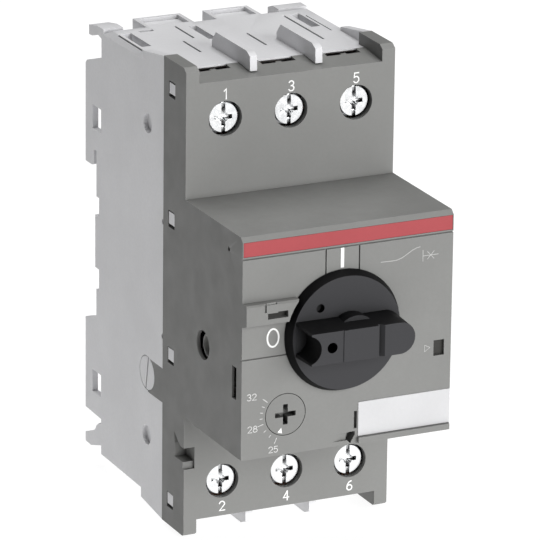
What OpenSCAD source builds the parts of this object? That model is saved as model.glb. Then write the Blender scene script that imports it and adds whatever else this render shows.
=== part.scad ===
// Motor protection breaker: three pole manual motor starter with a rotary handle.
// Millimetres. X is the width, the operating face looks to -Y, +Z is up.
// Origin: middle of the plane where the 35 mm rail flanges seat.

/* [Body] */
// Width across both sides
body_w = 45; // [44.8:0.1:45.2]
// Wall thickness of the rear housing
wall = 1.5; // [1.4:0.05:1.6]
// Wall thickness of the front cover
cover_wall = 1.4; // [1.3:0.05:1.45]
// Height of the flat top above the rail centre line
top_z = 44; // [43.8:0.1:44.1]
// Depth of the flat underside below the rail centre line
bottom_z = 47; // [46.9:0.1:47.2]
// Y of the outside of the back wall
back_y = -2.5; // [-2.6:0.1:-2.4]
// Y of the joint between housing and cover
joint_y = -32.9; // [-33:0.1:-32.8]
// Y of the two terminal shelves
shelf_y = -43.4; // [-43.6:0.1:-43.2]
// Y of the operating face
face_y = -69.8; // [-70:0.1:-69.6]
// Top of the operating block
block_top = 20; // [19.9:0.1:20.2]
// Bottom of the operating block
block_bottom = -25; // [-25.2:0.1:-24.9]
// Top of the corner posts
post_top = 46.4; // [46.2:0.1:46.6]
// Bottom of the corner legs
leg_bottom = -50.15; // [-50.4:0.05:-50]

/* [Poles] */
// Distance between neighbouring poles
pole_pitch = 14.1; // [14:0.05:14.2]
// Thickness of the barrier between two poles
barrier_t = 1.5; // [1.3:0.1:1.6]
// Height of the upper terminal screws
line_screw_z = 35.5; // [35.2:0.1:35.8]
// Height of the lower terminal screws
load_screw_z = -39.55; // [-39.8:0.05:-39.3]
// Radius of a terminal screw head
screw_head_r = 3; // [2.8:0.1:3.1]
// Radius of the screwdriver opening over a terminal screw
screw_well_r = 3.55; // [3.45:0.05:3.6]

/* [Rail seat] */
// Height of the mounting rail
rail_h = 35; // [34.8:0.1:35.1]
// Distance the side plates reach behind the rail seat
wing_y = 5.5; // [5.2:0.1:5.7]
// Thickness of a side plate behind the back wall
wing_t = 1.3; // [1.1:0.1:1.4]
// Downward travel that releases the rail
latch_travel = 2.5; // [2:0.1:2.6]

/* [Handle] */
// Handle axis, across the width
knob_x = -1.25; // [-1.4:0.05:-1.1]
// Handle axis, height
knob_z = -1.1; // [-1.2:0.05:-1]
// Radius of the handle disc at its back
knob_disc_r = 12.35; // [12:0.05:12.4]
// Thickness of the handle disc
knob_disc_t = 2; // [1.8:0.1:2.2]
// Y of the front of the grip
grip_front_y = -79; // [-79.5:0.1:-78.5]
// Half width of the grip at the disc
grip_half_root = 3.6; // [3.5:0.05:3.7]
// Half width of the grip at its front
grip_half_front = 3.2; // [3.1:0.05:3.3]

/* [Setting dial] */
// Dial axis, across the width
dial_x = -13.1; // [-13.2:0.05:-13]
// Dial axis, height
dial_z = -16.8; // [-16.9:0.05:-16.7]
// Dial radius
dial_r = 4.2; // [4.1:0.05:4.3]

/* [Hidden] */
$fn = 64;
half_w = body_w / 2;
gap = 0.05;
run_gap = 0.15;
pole_x = [-pole_pitch, 0, pole_pitch];
barrier_x = [-pole_pitch / 2, pole_pitch / 2];
inner_x = half_w - wall;
cover_inner_x = half_w - cover_wall;
post_w = 2.8;
post_inner_x = half_w - post_w;
cover_back_y = joint_y - gap;
shelf_inner_y = shelf_y + cover_wall;
face_inner_y = face_y + 1.6;

// Rear housing
step_y = -22.6;
lip_low = 44.7;
lip_high = 46.35;
lip_t = 1.8;
tongue_y = -35.4;
tongue_half = post_inner_x - 0.1;
edge_chamfer = 1.1;
rear_chamfer = [3.1, 1.5];
seat_top_z = rail_h / 2 + 0.1;
nose_z = 14.1;
flange_slot = 1.3;
tray_y = 1.4;
tray_t = 2.2;
tray_rim = 0.9;
tray_floor = 0.8;
tray_x = [[-14, -3.6], [1.4, 11.3]];
vent_x = [[-20.7, -18.6], [-6.1, -4.4], [16.4, 18.4]];
vent_y = [-18.2, -8.2];
vent_depth = 2.6;
mark_depth = 1;
side_dimple = [[-25.2, 30.5], [-25.3, -34.7]];
dimple_r = 2.05;
dimple_depth = 0.9;
plug_gap = 0.12;
plug_y = -25.4;
plug_z = -21.5;
plug_r = 3.5;
tongue_z = [-25.3, -18.2];
tab_z = [[39.5, 41.7], [12.9, 15.4], [-15.3, -12.8], [-45.7, -43.4]];
window_z = [[38.8, 42.05], [12.2, 15.7], [-16, -12.6], [-46.4, -43.2]];
window_y = [-38.3, -35.3];
arm_t = 1;
arm_root_y = -28;

// Front cover
recess_back_z = 44;
recess_front_z = 43.15;
under_back_z = -47.6;
under_front_z = -46.9;
cover_room_z = [-45.9, 41.7];
block_room_z = [block_bottom + 1.6, block_top - 1.6];
wire_slot_half = 3.65;
wire_slot_y = -37.7;
strip_z = [16.1, 19.1];
strip_depth = 0.5;
groove_w = 0.3;
groove_depth = 0.35;
bar_depth = 2;
bar_clearance = 0.5;
bar_slot_depth = 1.2;
label_x = [2.5, 22.6];
label_z = [-23.6, -16.5];
label_depth = 0.5;
block_chamfer = 0.9;
test_x = [18.7, 21];
test_z = [-9.35, -6.15];
aux_hole = [-52, -7.05];
aux_hole_r = 3;

// Inner parts
bar_w = 8;
jaw_y = [-35.5, -34.3];
screw_face_y = shelf_y + 1;
cross_depth = 1.5;
head_back_y = -40.3;
clamp_y = [-40.2, -38.1];
shank_r = 1.95;
shank_end_y = -29.5;
shank_hole_r = 2.1;
back_bar_y = [-6.6, -5.4];
carrier_z = [-8, -2];
carrier_y = [-21, -15];
bridge_z = [-16, 6];
coil_y = -25.5;
coil_z = [-31, -17];
plunger_r = 2.3;
bore_r = 2.5;
toggle_axis = [-48.5, 8];
trip_axis = [-29.5, -8.5];
shaft_r = 2.4;
aux_axis = [-58, -12];
aux_boss = [-52.5, -7.2];
aux_boss_r = 2.4;
aux_pocket_x = -half_w + 0.8;
spring_steps = 14;
cam_pivot = [-16.5, -44.5];
slide_z = [17, 18.6];
frame_y = [-62.9, -45.5];

// Box between three ranges
module span(x, y, z) {
  translate([x[0], y[0], z[0]])
    cube([x[1] - x[0], y[1] - y[0], z[1] - z[0]]);
}

// Profile given as [y, z] points, drawn out along X
module side_profile(points, x) {
  translate([x[0], 0, 0])
    rotate([90, 0, 90])
      linear_extrude(x[1] - x[0])
        polygon(points);
}

// Profile given as [x, z] points, drawn out along Y
module front_profile(points, y) {
  translate([0, y[1], 0])
    rotate([90, 0, 0])
      linear_extrude(y[1] - y[0])
        polygon(points);
}

// Profile given as [x, y] points, drawn out along Z
module plan_profile(points, z) {
  translate([0, 0, z[0]])
    linear_extrude(z[1] - z[0])
      polygon(points);
}

module rod_x(y, z, r, x) {
  translate([x[0], y, z])
    rotate([0, 90, 0])
      cylinder(r = r, h = x[1] - x[0]);
}

module rod_y(x, z, r, y) {
  translate([x, y[1], z])
    rotate([90, 0, 0])
      cylinder(r = r, h = y[1] - y[0]);
}

module rod_z(x, y, r, z) {
  translate([x, y, z[0]])
    cylinder(r = r, h = z[1] - z[0]);
}

// Compression spring along +Z from the origin: six-sided wire swept along a helix
module coil_spring(r, wire_r, length, turns) {
  rings = turns * spring_steps;
  points = [
    for (i = [0 : rings])
      for (k = [0 : 5])
        [
          (r + wire_r * cos(60 * k)) * cos(360 * i / spring_steps),
          (r + wire_r * cos(60 * k)) * sin(360 * i / spring_steps),
          wire_r + wire_r * sin(60 * k) + (length - 2 * wire_r) * i / rings
        ]
  ];
  sides = [
    for (i = [0 : rings - 1])
      for (k = [0 : 5])
        let (a = 6 * i + k, b = 6 * i + (k + 1) % 6)
          for (f = [[a, b + 6, a + 6], [a, b, b + 6]])
            f
  ];
  ends = [[for (k = [5 : -1 : 0]) k], [for (k = [0 : 5]) 6 * rings + k]];
  polyhedron(points = points, faces = concat(sides, ends));
}

// Same child on the left and on the right side
module both_sides() {
  children();
  mirror([1, 0, 0])
    children();
}

// Plate behind the back wall with the upper rail hook
module hook_plate(x) {
  side_profile([
    [back_y - 0.5, 37.9], [-0.8, 37.3], [2.2, 36.3], [4.8, 35.5], [wing_y, 34.8],
    [wing_y, nose_z], [2.2, nose_z], [flange_slot, nose_z + 0.4], [flange_slot, seat_top_z],
    [0, seat_top_z], [0, 8], [back_y - 0.5, 8]
  ], x);
}

// Plate behind the back wall with the lower lead-in
module lead_plate(x) {
  side_profile([
    [back_y - 0.5, -rail_h / 2], [0, -rail_h / 2], [wing_y, -19.3], [wing_y, -38.9],
    [back_y - 0.5, -39.1]
  ], x);
}

// Pads that touch the rail flanges, and the step that enters the rail
module rail_pads() {
  span([-half_w, half_w], [back_y - 0.5, 0], [8, seat_top_z]);
  span([-half_w, half_w], [back_y - 0.5, 0], [-rail_h / 2, -11.7]);
  span([-half_w, half_w], [back_y - 0.5, -1.35], [-12, 8.2]);
  span([-half_w, half_w], [back_y - 0.5, 0.6], [-7.2, 4]);
}

module upper_hook(x, reach) {
  side_profile([
    [back_y - 1, 43.9], [-0.5, 43.9], [reach, 43.1], [reach, 41.1], [reach - 1.6, 41.2],
    [-0.8, 42.1], [back_y - 1, 41.5]
  ], x);
}

module lower_hook(x) {
  side_profile([
    [back_y - 1, -40], [-1.4, -40.3], [-0.1, -41.2], [0.6, -42.3], [1.7, -42.9],
    [wing_y, -44.4], [wing_y, -46.4], [2.7, -46.5], [back_y - 1, -44.5]
  ], x);
}

// Open trays along the rear top edge
module rear_tray(x) {
  difference() {
    span(x, [back_y - 3.5, tray_y], [top_z - tray_t, top_z]);
    span([x[0] + tray_rim, x[1] - tray_rim], [back_y - 2.6, tray_y - tray_rim],
         [top_z - tray_floor, top_z + 1]);
  }
}

// Barrier between two poles, standing out above and below
module pole_barrier(x) {
  side_profile([
    [-23.2, top_z - 1], [-23.2, 45.3], [-25, 47.4], [-39.2, 47.4], [-40.9, 46.6],
    [-41, recess_front_z + 0.5], [tongue_y, recess_back_z + 0.1], [tongue_y + 0.2, top_z - 1]
  ], [x - barrier_t / 2, x + barrier_t / 2]);
  side_profile([
    [-23.2, -bottom_z + 1], [-23.2, -48.6], [-25, -51], [-38.9, -51], [-41, -50],
    [-41, under_front_z - 0.5], [tongue_y, under_back_z - 0.15], [tongue_y + 0.2, -bottom_z + 1]
  ], [x - barrier_t / 2, x + barrier_t / 2]);
}

// Snap arm that reaches into a window of the cover, right side
module snap_arm(z) {
  span([inner_x - arm_t - 0.1, inner_x - 0.1 + gap], [joint_y - 5.5, arm_root_y], z);
  span([inner_x - arm_t - 0.1, inner_x + 0.2], [joint_y + 0.2, arm_root_y], z);
  side = [inner_x - 0.2, half_w - 0.1];
  span(side, [window_y[0] + 0.15, window_y[1] - 0.15], z);
}

module housing_shell() {
  difference() {
    union() {
      side_profile([
        [back_y, top_z - rear_chamfer[1]], [back_y - rear_chamfer[0], top_z],
        [joint_y, top_z], [joint_y, -bottom_z], [back_y, -bottom_z + 0.3]
      ], [-half_w, half_w]);
      both_sides() {
        side_profile([
          [step_y, top_z - 1], [step_y, lip_low], [joint_y, lip_high], [joint_y, top_z - 1]
        ], [half_w - lip_t, half_w]);
        side_profile([
          [step_y, -bottom_z + 1], [step_y, -48.9], [joint_y, -50.1], [joint_y, -bottom_z + 1]
        ], [half_w - lip_t, half_w]);
      }
      side_profile([
        [tongue_y, top_z], [joint_y + 1, top_z], [joint_y + 1, top_z - wall],
        [joint_y, top_z - wall], [tongue_y, top_z - 0.3]
      ], [-tongue_half, tongue_half]);
      span([-tongue_half, tongue_half], [tongue_y, joint_y + 1], [-bottom_z, -bottom_z + wall - 0.4]);
    }
    for (i = [0 : 2]) {
      x0 = i == 0 ? -inner_x : barrier_x[i - 1] + barrier_t / 2;
      x1 = i == 2 ? inner_x : barrier_x[i] - barrier_t / 2;
      span([x0, x1], [joint_y - 0.01, back_y - wall], [-bottom_z + wall, top_z - wall]);
    }
    both_sides() {
      front_profile([
        [half_w + 1, top_z - edge_chamfer - 1], [half_w + 1, top_z + 1],
        [half_w - edge_chamfer - 1, top_z + 1]
      ], [step_y, wing_y]);
    }
    span([barrier_x[0] - 1, barrier_x[1] + 1], [-22.2, -11.6], [-8.8, -1.2]);
    span([barrier_x[0] - 1, barrier_x[1] + 1], [-31.4, -27.6], [-10.4, -6.6]);
  }
}

// Guides that hold the rail latch against the back wall, right side
module latch_guide() {
  span([10.2, 11.8], [back_y - 0.5, 1.2], [-38, -20.5]);
  span([8.8, 11.8], [-0.1, 1.2], [-38, -20.5]);
}

module rear_housing() {
  color([0.78, 0.78, 0.79])
    difference() {
      union() {
        housing_shell();
        both_sides() {
          hook_plate([half_w - wing_t, half_w]);
          lead_plate([half_w - wing_t, half_w]);
          lower_hook([18.2, half_w]);
          latch_guide();
          for (z = tab_z)
            snap_arm(z);
        }
        for (x = [-8.4, 7.2])
          hook_plate([x, x + 1.2]);
        rail_pads();
        upper_hook([-half_w, -18.2], 3.75);
        upper_hook([16.1, half_w], 1.6);
        for (x = tray_x)
          rear_tray(x);
        for (x = barrier_x)
          pole_barrier(x);
        span([-2.2, 2.2], [back_y - 0.5, -0.1], [-38, -36.5]);
        for (x = vent_x)
          span([x[0] - 0.8, x[1] + 0.8], [vent_y[0] - 0.8, vent_y[1] + 0.8],
               [top_z - vent_depth - 0.8, top_z - wall + 0.1]);
        for (x = pole_x)
          for (z = [[4, 24], [-30, -13]])
            span([x - 2, x + 2], [back_bar_y[1], back_y - wall + 0.1], z);
      }
      for (x = vent_x)
        span(x, vent_y, [top_z - vent_depth, top_z + 1]);
      span([-21.6, -21.3], [-22, -8.5], [top_z - mark_depth, top_z + 1]);
      span([-8.8, -8.3], [-16.3, -7], [top_z - mark_depth, top_z + 1]);
      span([-11.7, -11.2], [-26, -17.5], [top_z - mark_depth, top_z + 1]);
      span([2.3, 2.8], [-26.4, -17.2], [top_z - mark_depth, top_z + 1]);
      span([-16.7, -13.6], [-8.5, -7.3], [top_z - mark_depth, top_z + 1]);
      span([14.6, 15.1], [-27, -8.5], [top_z - mark_depth, top_z + 1]);
      span([18.9, 19.2], [-22, -10], [top_z - mark_depth, top_z + 1]);
      both_sides() {
        span([half_w - wing_t - 1, half_w + 1], [-2.3, 2], [21.9, 26.9]);
        span([half_w - wing_t - 1, half_w + 1], [-2.4, 2.1], [-34.4, -29.6]);
        for (d = side_dimple)
          rod_x(d[0], d[1], dimple_r, [half_w - dimple_depth, half_w + 1]);
        span([inner_x - 0.2, half_w + 1], [joint_y - 0.01, plug_y - 0.5],
             [tongue_z[0] - gap, tongue_z[1] + gap]);
        rod_x(plug_y, plug_z, plug_r + plug_gap, [inner_x - 0.2, half_w + 1]);
      }
      both_sides()
        for (z = [12.4, -11.4])
          rod_x(joint_y, z, 0.6, [half_w - 0.4, half_w + 1]);
    }
}

// Posts, shelves and operating block before hollowing
module cover_solid() {
  span([-half_w, half_w], [face_y, shelf_y + 1], [block_bottom, block_top]);
  side_profile([
    [tongue_y - 3 * gap, recess_back_z], [shelf_y, recess_front_z],
    [shelf_y, under_front_z], [tongue_y - 3 * gap, under_back_z]
  ], [-post_inner_x - 0.1, post_inner_x + 0.1]);
  both_sides() {
    side_profile([
      [cover_back_y, post_top], [shelf_y + 1.2, post_top], [shelf_y, post_top - 0.8],
      [shelf_y, leg_bottom + 0.5], [shelf_y + 0.6, leg_bottom], [cover_back_y, leg_bottom]
    ], [post_inner_x, half_w]);
    difference() {
      span([cover_inner_x + gap, half_w], [joint_y - 1, plug_y - 0.5 - gap], tongue_z);
      rod_x(plug_y, plug_z, plug_r + plug_gap, [cover_inner_x - 1, half_w + 1]);
    }
  }
  span([2.4, 22.2], [face_y - 0.8, face_y + 1], [-24.8, -23.65]);
  difference() {
    side_profile([
      [face_y + 1, 2.1], [face_y, 2.1], [face_y - bar_depth, 2.8], [face_y - bar_depth, 6.6],
      [face_y - bar_depth + 0.35, 6.95], [face_y + 1, 6.95]
    ], [-half_w, -9]);
    rod_y(knob_x, knob_z, knob_disc_r + bar_clearance, [face_y - bar_depth - 1, face_y]);
  }
}

// Posts, pins and ribs inside the cover that hold the mechanism
module cover_bosses() {
  for (x = [-6.5, 4])
    for (z = [-7.5, 9.5])
      rod_y(x, z, 1.6, [face_inner_y - 0.1, frame_y[0]]);
  span([17.5, cover_inner_x + 0.1], [-58.9, -57.4], [-10, -5.5]);
  rod_z(cam_pivot[0], cam_pivot[1], 1, [block_room_z[0] - 0.1, -10.2]);
  rod_z(cam_pivot[0], cam_pivot[1], 1.8, [block_room_z[0] - 0.1, -13.8]);
  rod_x(aux_axis[0], aux_axis[1], 0.8, [-cover_inner_x - 0.1, -18.4]);
  for (x = [-17, 15.5])
    span([x, x + 1.5], [shelf_inner_y - 0.1, -35.6], [slide_z[1] + run_gap, slide_z[1] + 1.6]);
  span([-cover_inner_x - 0.1, -19.4], [shelf_inner_y - 0.1, -38.1], [-36.8, -30.7]);
}

// Printed-line grooves and pockets in the operating face
module face_cuts() {
  cut_y = [face_y - 1, face_y + groove_depth];
  span([-half_w + 0.15, half_w - 0.15], [face_y - 1, face_y + strip_depth], strip_z);
  span([-half_w - 1, half_w + 1], cut_y, [15.55, 15.55 + groove_w]);
  for (x = [-4.9, 2.25])
    span([x - groove_w / 2, x + groove_w / 2], cut_y, [knob_z, 15.7]);
  bar_y = face_y - bar_depth;
  span([-18, -13.7], [bar_y - 1, bar_y + bar_slot_depth], [3.8, 4.95]);
  span([-15.85, -13.7], [bar_y - 1, bar_y + bar_slot_depth], [3.8, 5.15]);
  span([-18.7, -18.3], [bar_y - 1, bar_y + 0.4], [5.2, 7.5]);
  span([-18.05, -16.05], [bar_y - 1, bar_y + 0.5], [6.65, 7.5]);
  span([-half_w - 1, -12], cut_y, [-4.7, -4.4]);
  rod_y(knob_x, knob_z, shaft_r + 0.4, [face_y - 1, face_inner_y + 1]);
  rod_y(dial_x, dial_z, dial_r + 0.13, [face_y - 1, face_inner_y + 1]);
  span(test_x, [face_y - 1, face_inner_y + 1], test_z);
  span(label_x, [face_y - 1, face_y + label_depth], label_z);
  span([1.65, 2.3], [face_y - 1, face_y + 1], [-21.9, -18.3]);
  plan_profile([
    [-3.1, face_y - 0.01], [-3.1, face_y - 1], [0.7, face_y - 1], [0.7, face_y + 0.8]
  ], [-24.1, -22.5]);
  front_profile([
    [0.65, -22.45], [1.9, -22.45], [1.95, -23.05], [0.95, -24.8], [0.2, -24.1]
  ], [face_y - 1, face_y + 2.5]);
  side_profile([
    [face_y - 1, block_top - block_chamfer - 1], [face_y + block_chamfer + 1, block_top + 1],
    [face_y - 1, block_top + 1]
  ], [-half_w - 1, half_w + 1]);
}

// Openings in the left side of the cover
module left_side_cuts() {
  rod_x(aux_hole[0], aux_hole[1], aux_hole_r, [-half_w - 1, -cover_inner_x + 1]);
  rod_x(aux_hole[0], aux_hole[1], aux_hole_r + 1.3, [aux_pocket_x, -cover_inner_x + 1]);
  span([-half_w - 1, -cover_inner_x + 1], [-67.4, -65.4], [-13.4, -6.8]);
  span([-half_w + 0.5, -cover_inner_x + 1], [-67.6, -62.5], [-14, -6.2]);
  rod_x(-63.5, 16.1, 0.5, [-half_w - 1, -half_w + 0.5]);
  span([-half_w - 1, -20.2], [shelf_y - 1, -38.9], [-34.6, -31.5]);
  span([-half_w - 1, -20.2], [shelf_y - 1, shelf_y + 0.6], [-36, -31.5]);
  side_profile([[-38.8, -29.4], [-41.6, -31.6], [-38.8, -31.6]], [-half_w - 1, -half_w + 0.9]);
}

module front_cover() {
  color([0.4, 0.41, 0.4])
    difference() {
      union() {
        difference() {
          cover_solid();
          span([-cover_inner_x, cover_inner_x], [shelf_inner_y, joint_y + 1], cover_room_z);
          span([-cover_inner_x, cover_inner_x], [face_inner_y, shelf_inner_y + 1], block_room_z);
        }
        cover_bosses();
      }
      for (x = pole_x) {
        for (z = [line_screw_z, load_screw_z])
          rod_y(x, z, screw_well_r, [shelf_y - 1, shelf_inner_y + 1]);
        difference() {
          span([x - wire_slot_half, x + wire_slot_half], [wire_slot_y, tongue_y + 1],
               [cover_room_z[1] - 1, recess_back_z + 1]);
          span([x - 0.6, x + 0.6], [wire_slot_y - 1, wire_slot_y + 0.6],
               [cover_room_z[1] - 1, recess_back_z + 1]);
        }
        span([x - wire_slot_half, x + wire_slot_half], [wire_slot_y, tongue_y + 1],
             [under_back_z - 1, cover_room_z[0] + 1]);
      }
      both_sides()
        for (z = window_z)
          span([cover_inner_x - 1, half_w + 1], window_y, z);
      face_cuts();
      left_side_cuts();
    }
}

module red_trim_strip() {
  color([0.77, 0.3, 0.33])
    span([-half_w + 0.2, half_w - 0.2], [face_y, face_y + strip_depth - gap],
         [strip_z[0] + gap, strip_z[1] - gap]);
}

module label_plate() {
  color([0.95, 0.95, 0.95])
    span([label_x[0] + gap, half_w - 0.02], [face_y - 0.1, face_y + label_depth - gap],
         [label_z[0] + gap, label_z[1] - gap]);
}

// Slotted round plugs where the cover tongue meets the housing
module side_lock_plugs() {
  color([0.78, 0.78, 0.79])
    both_sides()
      difference() {
        union() {
          rod_x(plug_y, plug_z, plug_r, [inner_x - 0.1, half_w]);
          rod_x(plug_y, plug_z, plug_r + 0.6, [inner_x - 1, inner_x - 0.3]);
          rod_x(plug_y, plug_z, 2.2, [inner_x - 1, inner_x]);
        }
        translate([half_w, plug_y, plug_z])
          rotate([10, 0, 0])
            cube([1.8, 0.45, 2 * plug_r + 1], center = true);
      }
}

module rotary_knob() {
  disc_front = face_y - run_gap - knob_disc_t;
  grip = [
    [disc_front + 0.5, knob_z - grip_half_root], [grip_front_y, knob_z - grip_half_front],
    [grip_front_y, knob_z + grip_half_front], [disc_front + 0.5, knob_z + grip_half_root]
  ];
  grip_x = [knob_x - 10.8, knob_x + 8];
  color([0.2, 0.2, 0.21])
    difference() {
      union() {
        translate([knob_x, face_y - run_gap, knob_z])
          rotate([90, 0, 0])
            cylinder(r1 = knob_disc_r, r2 = knob_disc_r - 0.85, h = knob_disc_t, $fn = 96);
        side_profile(grip, grip_x);
        translate([grip_x[1], disc_front + 0.5, knob_z])
          rotate([90, 0, 0])
            cylinder(r1 = grip_half_root, r2 = grip_half_front, h = disc_front + 0.5 - grip_front_y);
        rod_y(knob_x + 0.6, knob_z, 4.4, [-75, disc_front + 0.5]);
        rod_y(knob_x, knob_z, 4.6, [face_y - run_gap - 0.2, face_y - run_gap]);
      }
      rod_y(knob_x - 11.6, knob_z, 2.9, [grip_front_y - 1, disc_front - 0.05]);
      span([knob_x - 12, knob_x - 4], [grip_front_y - 1, grip_front_y + 0.15],
           [knob_z - 4, knob_z + 4]);
      plan_profile([
        [knob_x + 3.4, grip_front_y - 1], [knob_x + 3.4, grip_front_y + 0.6],
        [knob_x + 3.8, grip_front_y + 0.6], [knob_x + 4.75, grip_front_y - 0.01],
        [knob_x + 4.75, grip_front_y - 1]
      ], [knob_z - 4, knob_z + 4]);
      rod_y(knob_x - 6.4, knob_z, 1.05, [grip_front_y - 1, disc_front - 0.5]);
      rod_y(knob_x - 5.7, knob_z + 5.7, 0.85, [disc_front - 1, disc_front + 1.2]);
      rod_y(knob_x, knob_z, shaft_r - 0.4, [face_y - 4.2, face_y + 1]);
    }
}

// Metal shaft behind the handle, with its crank
module knob_shaft() {
  color([0.7, 0.71, 0.72]) {
    rod_y(knob_x, knob_z, shaft_r - 0.4, [face_y - 4.1, face_y - 0.1]);
    rod_y(knob_x, knob_z, shaft_r, [face_y - run_gap, -54.9]);
    rod_y(knob_x, knob_z, 4.2, [-55, -53.6]);
    rod_y(knob_x, knob_z + 3, 0.9, [-53.8, -51.5]);
  }
}

module setting_dial() {
  color([0.42, 0.43, 0.42])
    difference() {
      union() {
        rod_y(dial_x, dial_z, dial_r, [face_y, face_inner_y + 0.2]);
        rod_y(dial_x, dial_z, 1.8, [face_inner_y + 0.4, -58.4]);
        rod_y(dial_x, dial_z, dial_r + 0.7, [face_inner_y + 0.15, face_inner_y + 1.2]);
        rod_y(dial_x + 0.9, dial_z, 3.2, [-60.5, -58.5]);
      }
      span([dial_x - 2.2, dial_x + 2.2], [face_y - 1, face_y + 2], [dial_z - 0.5, dial_z + 0.5]);
      span([dial_x - 0.5, dial_x + 0.5], [face_y - 1, face_y + 2],
           [dial_z - 2.05, dial_z + 2.05]);
    }
}

// Adjusting lever that rests on the dial cam
module dial_cam_lever() {
  color([0.86, 0.84, 0.78])
    difference() {
      union() {
        span([-17.2, -15.8], [-60.4, cam_pivot[1]], [-13.2, -11.2]);
        span([-17.2, -15.8], [-60.4, -58.6], [-18, -11.2]);
        rod_z(cam_pivot[0], cam_pivot[1], 2.1, [-13.6, -10.8]);
      }
      rod_z(cam_pivot[0], cam_pivot[1], 1.08, [-14, -10]);
    }
}

module test_slider() {
  color([0.83, 0.83, 0.82]) {
    span([test_x[0] + 0.12, test_x[1] - 0.05], [face_y + 0.6, -64.5],
         [test_z[0] + 0.12, test_z[1] - 0.12]);
    span([test_x[0] - 0.8, test_x[1] - 0.05], [-66.5, -64.5], [test_z[0] - 0.8, test_z[1] + 0.8]);
    rod_y(19.8, -7.75, 0.7, [-65, -61.5]);
  }
}

module test_slider_spring() {
  color([0.75, 0.76, 0.78])
    translate([19.8, -64.4, -7.75])
      rotate([-90, 0, 0])
        coil_spring(1, 0.16, 5.4, 6);
}

module rail_latch() {
  color([0.3, 0.3, 0.31])
    difference() {
      union() {
        span([-10, 10], [back_y + run_gap, -0.3], [-48.5, -18.2]);
        side_profile([
          [-0.8, -24], [3.2, -24], [3.2, -17], [2.2, -15.9], [flange_slot + 0.1, -15.9],
          [flange_slot + 0.1, -17.7], [-0.8, -18.2]
        ], [-6.6, 6.6]);
        span([-6, 6], [-0.5, 1.4], [-48.5, -46.5]);
      }
      span([-2.6, 2.6], [back_y - 1, 0], [-41.5, -28]);
      span([-4, 4], [back_y - 1, 3], [-45.8, -43.4]);
    }
}

module rail_latch_spring() {
  color([0.75, 0.76, 0.78])
    translate([0, -1.3, -36.5])
      coil_spring(0.85, 0.17, 8.4, 8);
}

// Combination slot and cross head screw with its cut thread shown as a plain shank
module terminal_screw(x, z) {
  color([0.85, 0.86, 0.88])
    difference() {
      union() {
        rod_y(x, z, screw_head_r, [screw_face_y, head_back_y]);
        rod_y(x, z, shank_r, [head_back_y - 0.1, shank_end_y]);
      }
      for (arm = [[1.9, 0.45], [0.45, 1.9]])
        span([x - arm[0], x + arm[0]], [screw_face_y - 1, screw_face_y + cross_depth],
             [z - arm[1], z + arm[1]]);
      span([x - 0.4, x + 0.4], [screw_face_y - 1, screw_face_y + 0.7],
           [z - screw_head_r - 1, z + screw_head_r + 1]);
      translate([x, screw_face_y - 1, z])
        rotate([-90, 45, 0])
          cylinder(r = 1.15, h = 1 + cross_depth, $fn = 4);
    }
}

// Square clamp that presses the wire on the busbar
module terminal_clamp(x, z) {
  color([0.8, 0.78, 0.72])
    difference() {
      union() {
        rod_y(x, z, 3.4, [clamp_y[0], clamp_y[0] + 1]);
        span([x - 4, x + 4], [clamp_y[0] + 0.8, clamp_y[1]], [z - 3.9, z + 3.9]);
      }
      rod_y(x, z, shank_hole_r, [clamp_y[0] - 1, clamp_y[1] + 1]);
    }
}

// Upper terminal jaw, conductor and fixed contact of one pole
module line_busbar(x) {
  bar = [x - bar_w / 2, x + bar_w / 2];
  difference() {
    span(bar, jaw_y, [27, 40.9]);
    rod_y(x, line_screw_z, shank_hole_r, [jaw_y[0] - 1, jaw_y[1] + 1]);
  }
  span(bar, [jaw_y[1] - 0.1, back_bar_y[1]], [27, 28.2]);
  span([x - 3, x + 3], back_bar_y, [1, 27.1]);
  rod_y(x, 4, 1.8, [back_bar_y[0] - 1, back_bar_y[0] + 0.1]);
}

module line_busbars() {
  color([0.82, 0.55, 0.35])
    for (x = pole_x)
      line_busbar(x);
}

// Lower fixed contact, coil lead, and the separate lower terminal jaw of one pole
module load_busbar(x) {
  bar = [x - bar_w / 2, x + bar_w / 2];
  span([x - 3, x + 3], back_bar_y, [-36.2, -11]);
  rod_y(x, -14, 1.8, [back_bar_y[0] - 1, back_bar_y[0] + 0.1]);
  span([x - 3, x + 3], [-19.6, back_bar_y[1]], [-36.2, -35]);
  difference() {
    span(bar, jaw_y, [-44.8, -31.5]);
    rod_y(x, load_screw_z, shank_hole_r, [jaw_y[0] - 1, jaw_y[1] + 1]);
  }
  span([x + 1, x + 4], [-38.4, jaw_y[1]], [-33.2, -31.5]);
}

module load_busbars() {
  color([0.82, 0.55, 0.35])
    for (x = pole_x)
      load_busbar(x);
}

module coil_windings() {
  color([0.76, 0.42, 0.24])
    for (x = pole_x)
      for (i = [0 : 6])
        translate([x, coil_y, coil_z[0] + 1.9 + i * 1.7])
          rotate_extrude()
            translate([4.2, 0])
              circle(r = 0.8, $fn = 24);
}

module coil_bobbins() {
  color([0.9, 0.88, 0.8])
    for (x = pole_x)
      difference() {
        union() {
          rod_z(x, coil_y, 3.2, coil_z);
          for (z = [coil_z[0], coil_z[1] - 0.9])
            rod_z(x, coil_y, 5.1, [z, z + 0.9]);
        }
        rod_z(x, coil_y, bore_r, [coil_z[0] - 1, coil_z[1] + 1]);
      }
}

module coil_yokes() {
  color([0.62, 0.63, 0.65])
    for (x = pole_x) {
      span([x - 4.8, x + 4.8], [-31.2, -30.8], [coil_z[0] - 1.3, coil_z[1] + 1.3]);
      difference() {
        for (z = [coil_z[0] - 1.3, coil_z[1] + 0.1])
          span([x - 4.8, x + 4.8], [-31, -21.4], [z, z + 1.2]);
        rod_z(x, coil_y, bore_r, [coil_z[0] - 3, coil_z[1] + 3]);
      }
    }
}

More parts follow.
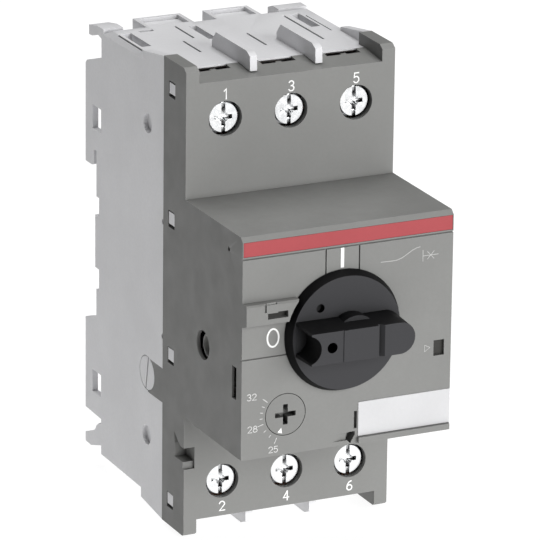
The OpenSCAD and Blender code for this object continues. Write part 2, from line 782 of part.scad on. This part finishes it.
module plunger(x) {
  color([0.66, 0.67, 0.69]) {
    rod_z(x, coil_y, plunger_r, [-30, -16.5]);
    rod_z(x, coil_y, 0.9, [-16.6, -14]);
  }
}

module arc_plates() {
  color([0.6, 0.61, 0.63])
    for (x = pole_x)
      for (start = [8.6, -33.2])
        for (i = [0 : 5])
          difference() {
            span([x - 5.4, x + 5.4], [-18, -8], [start + i * 2.3, start + i * 2.3 + 0.8]);
            span([x - 1.2, x + 1.2], [-19, -12], [start + i * 2.3 - 1, start + i * 2.3 + 2]);
          }
}

module contact_bridges() {
  color([0.84, 0.6, 0.4])
    for (x = pole_x) {
      span([x - 2.6, x + 2.6], [-12, -10.9], bridge_z);
      for (z = [4, -14])
        rod_y(x, z, 1.8, [-11, -10.4]);
    }
}

module contact_springs() {
  color([0.75, 0.76, 0.78])
    for (x = pole_x)
      translate([x, -14.95, -5])
        rotate([-90, 0, 0])
          coil_spring(1.6, 0.2, 2.85, 4);
}

// Moulded carrier across all three poles with the push rod to the mechanism
module contact_carrier() {
  color([0.55, 0.27, 0.2]) {
    span([-18.4, 18.4], carrier_y, carrier_z);
    for (x = pole_x) {
      span([x - 3.6, x - 2.8], [-15.1, -11.2], [-7.6, -2.4]);
      span([x + 2.8, x + 3.6], [-15.1, -11.2], [-7.6, -2.4]);
    }
    span([-2.8, 0.2], [-46.6, carrier_y[0] + 1], [-5.5, -2.5]);
  }
}

module mechanism_frame() {
  color([0.68, 0.69, 0.71])
    difference() {
      union() {
        for (x = [-8.8, 5.2])
          span([x, x + 1], frame_y, [-10, 12]);
        span([-8.8, 6.2], [frame_y[0], frame_y[0] + 1], [-10, 12]);
        span([-8.8, 6.2], frame_y, [11, 12]);
        span([1.6, 6.2], [-59.5, -55.8], [-10, -9]);
      }
      rod_y(knob_x, knob_z, shaft_r + 0.08, [-64, -61]);
      rod_x(toggle_axis[0], toggle_axis[1], 1.08, [-10, 8]);
    }
}

module toggle_lever() {
  color([0.86, 0.84, 0.78]) {
    rod_x(toggle_axis[0], toggle_axis[1], 1, [-9.6, 7]);
    rod_x(toggle_axis[0], toggle_axis[1], 2, [-3.6, 1.6]);
    span([-2.8, 0.8], [-49.9, -47], [-4.8, toggle_axis[1]]);
  }
}

module main_spring() {
  color([0.75, 0.76, 0.78])
    translate([3.4, -57.5, -9])
      coil_spring(1.3, 0.22, 20, 11);
}

// Common trip bar with one paddle over each plunger
module trip_bar() {
  color([0.86, 0.84, 0.78]) {
    rod_x(trip_axis[0], trip_axis[1], 1.2, [-20.4, 20.4]);
    for (x = pole_x)
      span([x - 1.4, x + 1.4], [trip_axis[0] - 0.4, -23.8], [-11.1, -9.2]);
  }
}

module trip_slide() {
  color([0.86, 0.84, 0.78]) {
    span([-19, 18], [-39, -36], slide_z);
    for (x = pole_x)
      span([x + 0.6, x + 1.8], [-39, -36], [14.6, 17.1]);
  }
}

module bimetal_strips() {
  color([0.72, 0.68, 0.6])
    for (x = pole_x)
      span([x + 2.2, x + 3.2], [-38.2, -36.2], [-31.5, 16.4]);
}

module heater_windings() {
  color([0.55, 0.5, 0.47])
    for (x = pole_x)
      for (i = [0 : 7])
        translate([x + 2.7, -37.2, -24 + i * 3.4])
          rotate_extrude()
            translate([1.75, 0])
              circle(r = 0.42, $fn = 20);
}

// Lever seen through the round side opening
module aux_lever() {
  color([0.82, 0.82, 0.81])
    difference() {
      union() {
        rod_x(aux_axis[0], aux_axis[1], 2.1, [-20.9, -18.6]);
        side_profile([
          [aux_axis[0] - 1.4, aux_axis[1] + 1], [aux_axis[0] + 1.4, aux_axis[1] - 1],
          [aux_boss[0] + 1.3, aux_boss[1] - 1], [aux_boss[0] - 1.3, aux_boss[1] + 1]
        ], [-20.9, -19.7]);
        rod_x(aux_boss[0], aux_boss[1], aux_boss_r, [aux_pocket_x + 0.1, -19.7]);
      }
      rod_x(aux_boss[0], aux_boss[1], aux_boss_r - 0.35, [-22, aux_pocket_x + 1.1]);
      rod_x(aux_axis[0], aux_axis[1], 0.9, [-22, -18]);
    }
}

rear_housing();
front_cover();
red_trim_strip();
label_plate();
side_lock_plugs();
rotary_knob();
knob_shaft();
setting_dial();
dial_cam_lever();
test_slider();
test_slider_spring();
rail_latch();
rail_latch_spring();
terminal_screw(pole_x[0], line_screw_z);  // terminal_screw_1
terminal_screw(pole_x[1], line_screw_z);  // terminal_screw_3
terminal_screw(pole_x[2], line_screw_z);  // terminal_screw_5
terminal_screw(pole_x[0], load_screw_z);  // terminal_screw_2
terminal_screw(pole_x[1], load_screw_z);  // terminal_screw_4
terminal_screw(pole_x[2], load_screw_z);  // terminal_screw_6
terminal_clamp(pole_x[0], line_screw_z);  // terminal_clamp_1
terminal_clamp(pole_x[1], line_screw_z);  // terminal_clamp_3
terminal_clamp(pole_x[2], line_screw_z);  // terminal_clamp_5
terminal_clamp(pole_x[0], load_screw_z);  // terminal_clamp_2
terminal_clamp(pole_x[1], load_screw_z);  // terminal_clamp_4
terminal_clamp(pole_x[2], load_screw_z);  // terminal_clamp_6
line_busbars();
load_busbars();
coil_windings();
coil_bobbins();
coil_yokes();
plunger(pole_x[0]);  // plunger_1
plunger(pole_x[1]);  // plunger_2
plunger(pole_x[2]);  // plunger_3
arc_plates();
contact_bridges();
contact_springs();
contact_carrier();
mechanism_frame();
toggle_lever();
main_spring();
trip_bar();
trip_slide();
bimetal_strips();
heater_windings();
aux_lever();
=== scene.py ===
"""Looks of the motor protection breaker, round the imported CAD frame. Metres; X right, -Y front, Z up."""

import math

import bmesh
import bpy
from mathutils import Matrix, Vector


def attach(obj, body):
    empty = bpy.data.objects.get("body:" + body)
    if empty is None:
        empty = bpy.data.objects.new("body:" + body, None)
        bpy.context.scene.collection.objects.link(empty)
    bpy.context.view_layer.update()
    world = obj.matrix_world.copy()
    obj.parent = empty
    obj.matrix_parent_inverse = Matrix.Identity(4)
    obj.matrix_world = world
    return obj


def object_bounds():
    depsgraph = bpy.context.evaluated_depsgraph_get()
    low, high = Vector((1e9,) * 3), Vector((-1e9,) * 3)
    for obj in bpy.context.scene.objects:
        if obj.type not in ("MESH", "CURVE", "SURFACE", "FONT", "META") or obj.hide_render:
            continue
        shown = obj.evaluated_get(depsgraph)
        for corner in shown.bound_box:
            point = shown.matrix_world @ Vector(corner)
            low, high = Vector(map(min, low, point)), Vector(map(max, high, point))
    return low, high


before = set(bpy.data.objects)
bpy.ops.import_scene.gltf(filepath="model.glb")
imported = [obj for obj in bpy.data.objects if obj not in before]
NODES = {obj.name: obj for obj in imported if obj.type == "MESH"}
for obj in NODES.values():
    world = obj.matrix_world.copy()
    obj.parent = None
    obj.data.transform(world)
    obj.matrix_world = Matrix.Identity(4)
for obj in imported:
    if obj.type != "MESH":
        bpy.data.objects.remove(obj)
cad_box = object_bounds()
MM = 0.001
POLES = range(1, 4)
TERMINALS = range(1, 7)


def box_of(name):
    """Lowest and highest corner of a CAD node at rest, in mm."""
    points = [v.co / MM for v in NODES[name].data.vertices]
    return [Vector([pick(p[axis] for p in points) for axis in range(3)]) for pick in (min, max)]


# ---------------------------------------------------------------- camera, light, floor
AIM = Vector((0, -0.0347, 0))
DISTANCE = 1.0237
AZIMUTH = math.radians(-25.52)
ELEVATION = math.radians(18.52)
ROLL = math.radians(0.68)


def camera():
    """Long lens that looks at the middle of the body from the front, a little left and above."""
    cam = bpy.data.cameras.new("camera")
    cam.sensor_width = 36
    cam.lens = 343.72
    cam.clip_end = 50
    obj = bpy.data.objects.new("camera", cam)
    swing = Matrix.Rotation(AZIMUTH, 4, "Z") @ Matrix.Rotation(math.pi / 2 - ELEVATION, 4, "X")
    tilt = Matrix.Rotation(ROLL, 4, "Z")
    obj.matrix_world = Matrix.Translation(AIM) @ swing @ tilt @ Matrix.Translation((0, 0, DISTANCE))
    bpy.context.scene.collection.objects.link(obj)
    bpy.context.scene.camera = obj


def area_light(name, place, target, size, watts):
    light = bpy.data.lights.new(name, "AREA")
    light.shape = "RECTANGLE"
    light.size, light.size_y = size
    light.energy = watts
    obj = bpy.data.objects.new(name, light)
    obj.location = place
    obj.rotation_euler = (Vector(target) - Vector(place)).to_track_quat("-Z", "Y").to_euler()
    bpy.context.scene.collection.objects.link(obj)


def studio():
    """Faint white surroundings, a large key light in front on the right and one overhead."""
    world = bpy.data.worlds.new("studio")
    world.use_nodes = True
    bg = world.node_tree.nodes["Background"]
    bg.inputs["Color"].default_value = (1, 1, 1, 1)
    bg.inputs["Strength"].default_value = 0.07
    bpy.context.scene.world = world
    area_light("key", (0.5, -1.6, 0.45), (0, -0.04, 0), (1.4, 1.1), 31.5)
    area_light("top", (0.1, 0.35, 1.5), (0, 0, 0), (1.4, 1.2), 18.5)
    view = bpy.context.scene.view_settings
    view.view_transform = "Standard"
    view.look = "None"
    view.exposure = 0
    view.gamma = 1


# The floor is no lamp but glows like one: a painted pool of light, brightest round the breaker and behind
# it, fading outwards, which also lights the breaker
FLOOR_HALF = 6
POOL_CENTRE = (0.08, 0.17, 0)
POOL_RADII = (0.27, 0.6)
POOL_GLOW = (0.9, 0.4)


def floor(z):
    me = bpy.data.meshes.new("floor")
    bm = bmesh.new()
    bmesh.ops.create_grid(bm, x_segments=8, y_segments=8, size=FLOOR_HALF)
    bm.to_mesh(me)
    bm.free()
    obj = bpy.data.objects.new("floor", me)
    obj.location.z = z
    bpy.context.scene.collection.objects.link(obj)
    g = Graph("stage_floor")
    offset = g.node("ShaderNodeVectorMath", operation="DISTANCE")
    g.link(g.coord, offset.inputs[0])
    offset.inputs[1].default_value = POOL_CENTRE
    pool = g.node("ShaderNodeMapRange", interpolation_type="SMOOTHSTEP")
    pool.inputs["From Min"].default_value, pool.inputs["From Max"].default_value = POOL_RADII
    pool.inputs["To Min"].default_value, pool.inputs["To Max"].default_value = POOL_GLOW
    g.link(offset.outputs["Value"], pool.inputs["Value"])
    # Emission of the floor: the painted pool of light
    g.link(pool.outputs["Result"], g.shader.inputs["Emission Strength"])
    g.shader.inputs["Emission Color"].default_value = (1, 1, 1, 1)
    g.shader.inputs["Base Color"].default_value = (0.2, 0.2, 0.2, 1)
    g.shader.inputs["Roughness"].default_value = 0.85
    me.materials.append(g.mat)


# ---------------------------------------------------------------- materials
class Graph:
    """Short calls for building one node material."""

    def __init__(self, name):
        self.mat = bpy.data.materials.new(name)
        self.mat.use_nodes = True
        self.tree = self.mat.node_tree
        self.shader = self.tree.nodes["Principled BSDF"]
        self.coord = self.node("ShaderNodeTexCoord").outputs["Object"]

    def node(self, kind, **values):
        n = self.tree.nodes.new(kind)
        for key, value in values.items():
            setattr(n, key, value)
        return n

    def link(self, a, b):
        self.tree.links.new(a, b)

    def noise(self, scale, detail=3.0, rough=0.55, stretch=None):
        """Noise in the object's own metres, drawn out along an axis by stretch."""
        n = self.node("ShaderNodeTexNoise")
        n.inputs["Scale"].default_value = scale
        n.inputs["Detail"].default_value = detail
        n.inputs["Roughness"].default_value = rough
        source = self.coord
        if stretch:
            m = self.node("ShaderNodeMapping")
            m.inputs["Scale"].default_value = stretch
            self.link(source, m.inputs["Vector"])
            source = m.outputs["Vector"]
        self.link(source, n.inputs["Vector"])
        return n.outputs["Fac"]

    def ramp(self, fac, a, b, low=0.3, high=0.7):
        """a where fac is low, b where it is high."""
        n = self.node("ShaderNodeMapRange")
        n.inputs["From Min"].default_value = low
        n.inputs["From Max"].default_value = high
        n.inputs["To Min"].default_value = a
        n.inputs["To Max"].default_value = b
        self.link(fac, n.inputs["Value"])
        return n.outputs["Result"]

    def mix(self, fac, a, b):
        n = self.node("ShaderNodeMix", data_type="RGBA")
        self.link(fac, n.inputs["Factor"])
        for socket, value in ((n.inputs[6], a), (n.inputs[7], b)):
            if isinstance(value, tuple):
                socket.default_value = (*value, 1)
            else:
                self.link(value, socket)
        return n.outputs[2]

    def math(self, op, a, b):
        n = self.node("ShaderNodeMath", operation=op)
        for socket, value in ((n.inputs[0], a), (n.inputs[1], b)):
            if isinstance(value, (int, float)):
                socket.default_value = value
            else:
                self.link(value, socket)
        return n.outputs[0]

    def edges(self, radius, gain):
        """1 on rounded-over edges, 0 on flats."""
        bevel = self.node("ShaderNodeBevel", samples=4)
        bevel.inputs["Radius"].default_value = radius
        geo = self.node("ShaderNodeNewGeometry")
        dot = self.node("ShaderNodeVectorMath", operation="DOT_PRODUCT")
        self.link(bevel.outputs["Normal"], dot.inputs[0])
        self.link(geo.outputs["Normal"], dot.inputs[1])
        n = self.node("ShaderNodeMapRange")
        n.inputs["From Min"].default_value = 1.0
        n.inputs["From Max"].default_value = 1.0 - 1.0 / gain
        self.link(dot.outputs["Value"], n.inputs["Value"])
        return n.outputs["Result"]

    def hollows(self, reach, low=0.3, high=0.8):
        """1 deep in recesses and along inner corners, 0 on open faces."""
        n = self.node("ShaderNodeAmbientOcclusion", samples=6)
        n.inputs["Distance"].default_value = reach
        return self.ramp(n.outputs["AO"], 1, 0, low, high)

    def facing(self, axis, low=0.75, high=0.93):
        """1 on faces that look along the object's own X, Y or Z axis."""
        coord = self.node("ShaderNodeTexCoord")
        split = self.node("ShaderNodeSeparateXYZ")
        self.link(coord.outputs["Normal"], split.inputs["Vector"])
        return self.ramp(self.math("ABSOLUTE", split.outputs[axis], 0), 0, 1, low, high)

    def bump(self, height, strength, distance):
        n = self.node("ShaderNodeBump")
        n.inputs["Strength"].default_value = strength
        n.inputs["Distance"].default_value = distance
        self.link(height, n.inputs["Height"])
        self.link(n.outputs["Normal"], self.shader.inputs["Normal"])


def scaled(color, k):
    """The colour k times as bright."""
    return tuple(min(1.0, c * k) for c in color)


def plastic(name, color, rough=0.5, grain=0.3, wear_and_sheen=0.35, specular=0.4, shade=0.35, reach=0.0016,
            front=None, flank=None):
    """Spark-eroded moulded plastic: fine grain, faint cloudiness, edges a little lighter, partly worn and
    partly painted highlight.

    Painted shade darkens the recesses and inner corners by shade, over a width of reach. front and flank
    make the faces that look along Y and along X that many times as bright."""
    g = Graph(name)
    cloud = g.noise(70, 4)
    fine = g.noise(1500, 3)
    base = g.mix(g.ramp(cloud, 0, 1), scaled(color, 0.955), scaled(color, 1.035))
    base = g.mix(g.ramp(fine, 0, 0.35), base, scaled(color, 0.9))
    # Faces that look along Y take front times the colour, faces along X take flank times it; the cover's
    # darker side faces are painted shade
    for axis, tone in (("Y", front), ("X", flank)):
        if tone:
            base = g.mix(g.facing(axis), base, scaled(color, tone))
    # Lighter rounded edges in patches: partly worn, partly painted highlight; these edges are also a
    # little glossier
    rub_and_sheen = g.math("MULTIPLY", g.edges(0.00035, 5), g.ramp(g.noise(420, 4), 0.1, 1))
    base = g.mix(g.math("MULTIPLY", rub_and_sheen, wear_and_sheen), base, scaled(color, 1.35 * (front or 1)))
    # Recesses and inner corners darkened towards black: painted shade
    base = g.mix(g.math("MULTIPLY", g.hollows(reach), shade), base, scaled(color, 0.12))
    g.link(base, g.shader.inputs["Base Color"])
    gloss = g.ramp(g.noise(240, 3), rough - 0.05, rough + 0.07)
    g.link(g.math("SUBTRACT", gloss, g.math("MULTIPLY", rub_and_sheen, 0.12)), g.shader.inputs["Roughness"])
    shine = g.shader.inputs["Specular IOR Level"]
    if front:
        g.link(g.ramp(g.facing("Y"), specular * 0.3, specular, 0, 1), shine)
    else:
        shine.default_value = specular
    g.bump(g.noise(4200, 2, 0.6), grain, 0.00003)
    return g.mat


def printed(name, color):
    """Thin pad-printed ink with slightly uneven cover."""
    g = Graph(name)
    patch = g.noise(2600, 3)
    g.link(g.mix(g.ramp(patch, 0, 1), scaled(color, 0.9), color), g.shader.inputs["Base Color"])
    g.link(g.ramp(g.noise(900, 2), 0.49, 0.63), g.shader.inputs["Roughness"])
    g.bump(g.noise(5200, 2), 0.15, 0.00002)
    return g.mat


def metal(name, color, rough=0.25, stretch=(1, 1, 12), tarnish=0.25, grain=0.12, shade=0.3):
    """Plated or brushed metal with drawn streaks and darker tarnish in patches."""
    g = Graph(name)
    streak = g.noise(900, 3, 0.6, stretch)
    patch = g.noise(260, 4)
    base = g.mix(g.ramp(patch, 0, tarnish), color, scaled(color, 0.62))
    # Rounded edges a quarter brighter: painted highlight
    base = g.mix(g.math("MULTIPLY", g.edges(0.0003, 5), 0.4), base, scaled(color, 1.25))
    # Recesses and inner corners darkened towards black: painted shade
    base = g.mix(g.math("MULTIPLY", g.hollows(0.0012), shade), base, scaled(color, 0.03))
    g.link(base, g.shader.inputs["Base Color"])
    g.link(g.ramp(streak, rough - 0.07, rough + 0.1), g.shader.inputs["Roughness"])
    g.shader.inputs["Metallic"].default_value = 1
    g.bump(streak, grain, 0.00003)
    return g.mat


HOUSING = plastic("housing_grey", (0.735, 0.735, 0.75), 0.5, 0.25)
# flank darkens the cover's side faces: painted shade
COVER = plastic("cover_grey", (0.214, 0.215, 0.208), 0.5, 0.35, flank=0.74)
RED = plastic("trim_red", (0.377, 0.054, 0.062), 0.42, 0.12, 0.2)
LABEL = plastic("label_white", (0.6, 0.6, 0.61), 0.45, 0.1, 0.1, shade=0.1)
# Knob: faces that look along Y are 6.3 times as bright and more specular than the flanks; the lighter rim
# edges are a painted highlight, and the strongly darkened holes are painted shade
BLACK = plastic("knob_black", (0.0055, 0.0055, 0.006), 0.46, 0.3, 0.6, 0.25, 0.9, 0.003, front=6.3)
# The dial's gap and recesses are darkened almost to black: painted shade
DIAL = plastic("dial_grey", (0.205, 0.206, 0.199), 0.5, 0.25, shade=0.95)
SLIDER = plastic("slider_dark", (0.022, 0.021, 0.018), 0.5, 0.3)
LEVER = plastic("lever_grey", (0.24, 0.24, 0.232), 0.5, 0.3)
IVORY = plastic("moulded_ivory", (0.68, 0.64, 0.54), 0.5, 0.3)
LATCH = plastic("latch_dark", (0.07, 0.07, 0.074), 0.48, 0.3)
THERMOSET = plastic("carrier_brown", (0.24, 0.09, 0.055), 0.45, 0.35)
# The screws' cross recesses are darkened almost to black: painted shade
ZINC = metal("screw_zinc", (0.9, 0.91, 0.92), 0.24, (1, 1, 1), 0.05, 0.03, 0.95)
STEEL = metal("plain_steel", (0.56, 0.57, 0.59), 0.32)
WIRE = metal("spring_wire", (0.6, 0.61, 0.63), 0.25, (6, 1, 1))
COPPER = metal("copper_bar", (0.83, 0.47, 0.29), 0.28)
ENAMEL = metal("enamelled_wire", (0.62, 0.25, 0.1), 0.22, (1, 1, 1))
BIMETAL = metal("bimetal_strip", (0.55, 0.5, 0.42), 0.34)
HEATER = metal("heater_wire", (0.36, 0.32, 0.3), 0.45)
INK = printed("ink_white", (0.93, 0.93, 0.92))
INK_SOFT = printed("ink_soft", (0.72, 0.72, 0.71))
INK_FAINT = printed("ink_faint", (0.5, 0.5, 0.49))

LOOKS = {
    HOUSING: ["rear_housing", "side_lock_plugs"],
    COVER: ["front_cover"],
    RED: ["red_trim_strip"],
    LABEL: ["label_plate"],
    BLACK: ["rotary_knob"],
    DIAL: ["setting_dial"],
    SLIDER: ["test_slider"],
    LEVER: ["aux_lever"],
    LATCH: ["rail_latch"],
    THERMOSET: ["contact_carrier"],
    IVORY: ["coil_bobbins", "dial_cam_lever", "toggle_lever", "trip_bar", "trip_slide"],
    STEEL: ["knob_shaft", "coil_yokes", "arc_plates", "mechanism_frame"]
    + [f"plunger_{n}" for n in POLES] + [f"terminal_clamp_{n}" for n in TERMINALS],
    ZINC: [f"terminal_screw_{n}" for n in TERMINALS],
    WIRE: ["test_slider_spring", "rail_latch_spring", "contact_springs", "main_spring"],
    COPPER: ["line_busbars", "load_busbars", "contact_bridges"],
    ENAMEL: ["coil_windings"],
    BIMETAL: ["bimetal_strips"],
    HEATER: ["heater_windings"],
}
for mat, names in LOOKS.items():
    for name in names:
        NODES[name].data.materials.clear()
        NODES[name].data.materials.append(mat)


def soften(name, width, segments=2, dissolve=True):
    """Moulded radius, width mm wide, along the sharp edges of a CAD node.

    Flat faces are joined up first, except on the two shells, whose faces have too many holes for that."""
    obj = NODES[name]
    weld = obj.modifiers.new("weld", "WELD")
    weld.merge_threshold = 2e-6
    if dissolve:
        flat = obj.modifiers.new("flat", "DECIMATE")
        flat.decimate_type = "DISSOLVE"
        flat.angle_limit = math.radians(0.6)
    edge = obj.modifiers.new("edge", "BEVEL")
    edge.width = width * MM
    edge.segments = segments
    edge.limit_method = "ANGLE"
    edge.angle_limit = math.radians(32)
    edge.miter_outer = "MITER_ARC"
    even = obj.modifiers.new("even", "WEIGHTED_NORMAL")
    even.mode = "FACE_AREA"
    even.keep_sharp = True
    for p in obj.data.polygons:
        p.use_smooth = True


soften("rear_housing", 0.16, dissolve=False)
soften("front_cover", 0.22, dissolve=False)
soften("rotary_knob", 0.3, 3)
soften("red_trim_strip", 0.06)
soften("label_plate", 0.06)
soften("setting_dial", 0.08)
soften("side_lock_plugs", 0.1)
soften("rail_latch", 0.15)
soften("aux_lever", 0.12)
for n in TERMINALS:
    soften(f"terminal_screw_{n}", 0.12)


# ---------------------------------------------------------------- printed marks
# All in mm, in the XZ plane of the operating face or of the terminal shelves
SCREW_SUNK = 1
FACE_Y = box_of("red_trim_strip")[0].y
SHELF_Y = box_of("terminal_screw_1")[0].y - SCREW_SUNK
INK_T = 0.03
POLE_PITCH = 14.1


def arc(cx, cz, rx, rz, a0, a1, n=14):
    """Points on an ellipse from angle a0 to a1, in degrees."""
    return [
        (cx + rx * math.cos(math.radians(a0 + (a1 - a0) * i / n)),
         cz + rz * math.sin(math.radians(a0 + (a1 - a0) * i / n)))
        for i in range(n + 1)
    ]


# Strokes of each digit in a box 0.6 wide and 1 high
GLYPHS = {
    "1": [[(0.1, 0.8), (0.32, 1.0), (0.32, 0.0)]],
    "2": [arc(0.3, 0.72, 0.29, 0.28, 165, -35, 12) + [(0.02, 0.0), (0.6, 0.0)]],
    "3": [arc(0.29, 0.76, 0.26, 0.24, 150, -90, 12), arc(0.29, 0.26, 0.3, 0.26, 90, -150, 14)],
    "4": [[(0.44, 0.0), (0.44, 1.0)], [(0.4, 0.95), (0.0, 0.3), (0.6, 0.3)]],
    "5": [[(0.54, 1.0), (0.1, 1.0), (0.05, 0.55)] + arc(0.28, 0.32, 0.3, 0.32, 118, -145, 16)],
    "6": [arc(0.56, 0.31, 0.55, 0.69, 98, 180, 10), arc(0.3, 0.29, 0.29, 0.29, 0, 360, 24)],
    "8": [arc(0.3, 0.77, 0.22, 0.23, 0, 360, 20), arc(0.3, 0.27, 0.3, 0.27, 0, 360, 22)],
}


def ribbon(bm, line, width, y, thick):
    """One stroke as a closed flat band in the XZ plane, its back on y."""
    closed = (Vector(line[0]) - Vector(line[-1])).length < 1e-6
    pts = [Vector(p) for p in (line[:-1] if closed else line)]
    count = len(pts)
    rings = []
    for i, p in enumerate(pts):
        before = pts[i - 1] if (closed or i > 0) else p
        after = pts[(i + 1) % count] if (closed or i < count - 1) else p
        d1 = (p - before).normalized() if (p - before).length else None
        d2 = (after - p).normalized() if (after - p).length else None
        d1, d2 = d1 or d2, d2 or d1
        n1, n2 = Vector((-d1.y, d1.x)), Vector((-d2.y, d2.x))
        side = (n1 + n2).normalized()
        side *= min(1.6, 1 / max(0.35, side.dot(n1))) * width / 2
        extend = Vector((0, 0))
        if not closed and i in (0, count - 1):
            extend = (d2 if i == 0 else -d1) * -width * 0.5
        ring = []
        for s, yy in ((1, y), (1, y - thick), (-1, y - thick), (-1, y)):
            q = p + side * s + extend
            ring.append(bm.verts.new((q.x * MM, yy * MM, q.y * MM)))
        rings.append(ring)
    last = count if closed else count - 1
    for i in range(last):
        a, b = rings[i], rings[(i + 1) % count]
        for k in range(4):
            bm.faces.new((a[k], a[(k + 1) % 4], b[(k + 1) % 4], b[k]))
    if not closed:
        bm.faces.new(rings[0][::-1])
        bm.faces.new(rings[-1])


def new_piece(name, bm, mat, body="breaker"):
    """Finish a mesh as a visual piece that rides on a body."""
    bmesh.ops.recalc_face_normals(bm, faces=bm.faces)
    me = bpy.data.meshes.new(name)
    bm.to_mesh(me)
    bm.free()
    me.materials.append(mat)
    obj = bpy.data.objects.new(name, me)
    bpy.context.scene.collection.objects.link(obj)
    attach(obj, body)


def marks(name, lines, width, y, mat):
    """Printed strokes; each is a hair thicker than the one before, so that no two tops coincide."""
    bm = bmesh.new()
    for i, line in enumerate(lines):
        ribbon(bm, line, width, y, INK_T * (1 + 0.06 * (i % 4)))
    new_piece(name, bm, mat)


def plate(name, outline, y, thick, mat, body="breaker"):
    """Flat piece with a closed outline of (x, z) points, its back on y."""
    bm = bmesh.new()
    front = [bm.verts.new((x * MM, (y - thick) * MM, z * MM)) for x, z in outline]
    rear = [bm.verts.new((x * MM, y * MM, z * MM)) for x, z in outline]
    bm.faces.new(front)
    bm.faces.new(rear[::-1])
    for i in range(len(outline)):
        j = (i + 1) % len(outline)
        bm.faces.new((front[i], front[j], rear[j], rear[i]))
    new_piece(name, bm, mat, body)


def number(text, x, z, w, h):
    """Strokes of a number whose lower left corner is (x, z), each digit w wide and h high."""
    pitch = w * 1.35
    out = []
    for i, digit in enumerate(text):
        for line in GLYPHS[digit]:
            out.append([(x + i * pitch + px / 0.6 * w, z + pz * h) for px, pz in line])
    return out


def polar(centre, radius, angle):
    """Point at a radius and an angle in degrees from a centre."""
    turn = math.radians(angle)
    return (centre[0] + radius * math.cos(turn), centre[1] + radius * math.sin(turn))


def handle_marks():
    """Bar for on above the handle, ring for off at its left."""
    marks("print_on_bar", [[(-1.385, 11.85), (-1.385, 15.15)]], 0.7, FACE_Y, INK)
    marks("print_off_ring", [arc(-15.95, -0.8, 1.2, 1.8, 0, 360, 40)], 0.36, FACE_Y, INK)


def function_marks():
    """Trip curve, its contact symbol, and the arrow that points at the test window."""
    curve = [
        (6.9, 11.45), (9.2, 11.4), (10.4, 11.45), (11.4, 11.75), (12.5, 12.35), (13.6, 13.0),
        (14.5, 13.35), (15.3, 13.5),
    ]
    marks("print_trip_curve", [curve], 0.13, FACE_Y, INK_FAINT)
    stem = [(15.95, 10.5), (15.95, 12.7)]
    line = [(15.95, 11.55), (19.25, 11.55)]
    cross = [[(16.95, 10.8), (18.35, 12.3)], [(16.95, 12.3), (18.35, 10.8)]]
    marks("print_trip_symbol", [stem, line, *cross], 0.13, FACE_Y, INK_FAINT)
    arrow = [(16.75, -8.2), (16.75, -6.85), (17.9, -7.45), (16.75, -8.2)]
    marks("print_test_arrow", [arrow], 0.12, FACE_Y, INK_FAINT)


# The scale runs clockwise: from 25 to 28 in three steps and from 28 to 32 in four
SCALE = ((248, 196, 3), (196, 142, 4))
POINTER_ANGLE = 252
POINTER_HALF = math.degrees(0.13)


def dial_centre():
    low, high = box_of("setting_dial")
    return ((low.x + high.x) / 2, (low.z + high.z) / 2)


def dial_marks():
    """Ticks and numbers round the setting dial."""
    centre = dial_centre()
    ticks = []
    for start, end, steps in SCALE:
        for i in range(steps):
            angle = start + (end - start) * i / steps
            ticks.append([polar(centre, 4.95, angle), polar(centre, 5.45 if i else 6.1, angle)])
    last = SCALE[-1][1]
    ticks.append([polar(centre, 4.95, last), polar(centre, 6.1, last)])
    marks("print_dial_ticks", ticks, 0.11, FACE_Y, INK_SOFT)
    numbers = number("32", -21.3, -12.9, 0.82, 1.25) + number("28", -21.1, -19.5, 0.85, 1.25)
    numbers += number("25", -16.6, -24.25, 0.82, 1.2)
    marks("print_dial_numbers", numbers, 0.13, FACE_Y, INK_SOFT)


def dial_pointer():
    """Small triangle on the dial that turns with it."""
    centre = dial_centre()
    tip = polar(centre, 2.75, POINTER_ANGLE)
    base = [polar(centre, 3.85, POINTER_ANGLE + side * POINTER_HALF) for side in (-1, 1)]
    plate("print_dial_pointer", [tip, *base], FACE_Y, INK_T, INK, "dial")


def terminal_marks():
    """Odd numbers over the upper screws, even ones under the lower screws."""
    strokes = []
    for n in TERMINALS:
        x = POLE_PITCH * ((n - 1) // 2 - 1) - (0.5 if n == 1 else 0.6)
        z, height = (39.5, 2.0) if n % 2 else (-45.8, 1.9)
        strokes.append(number(str(n), x, z, 1.15, height))
    order = strokes[0::2] + strokes[1::2]
    marks("print_terminal_numbers", sum(order, []), 0.26, SHELF_Y, INK)


# Stepped slot in the raised bar left of the handle
SLOT_X = (-18, -13.7)
SLOT_STEP_X = -15.85
SLOT_Z = (3.8, 4.95)
SLOT_STEP_Z = 5.15
SLOT_FLOOR_Y = FACE_Y - 0.8
SLOT_GAP = 0.01


def bar_slot_floor():
    """Dark sheet on the bottom of the stepped slot, a hair smaller all round: painted shade in the slot.
    """
    left, right = SLOT_X[0] + SLOT_GAP, SLOT_X[1] - SLOT_GAP
    low, high, step = SLOT_Z[0] + SLOT_GAP, SLOT_Z[1] - SLOT_GAP, SLOT_STEP_Z - SLOT_GAP
    step_x = SLOT_STEP_X + SLOT_GAP
    outline = [(left, low), (right, low), (right, step), (step_x, step), (step_x, high), (left, high)]
    plate("bar_slot_floor", outline, SLOT_FLOOR_Y, 0.05, SLIDER)


handle_marks()
function_marks()
dial_marks()
terminal_marks()
bar_slot_floor()
dial_pointer()

# ---------------------------------------------------------------- stage
FLOOR_GAP = 0.0002
camera()
studio()
floor(cad_box[0][2] - FLOOR_GAP)
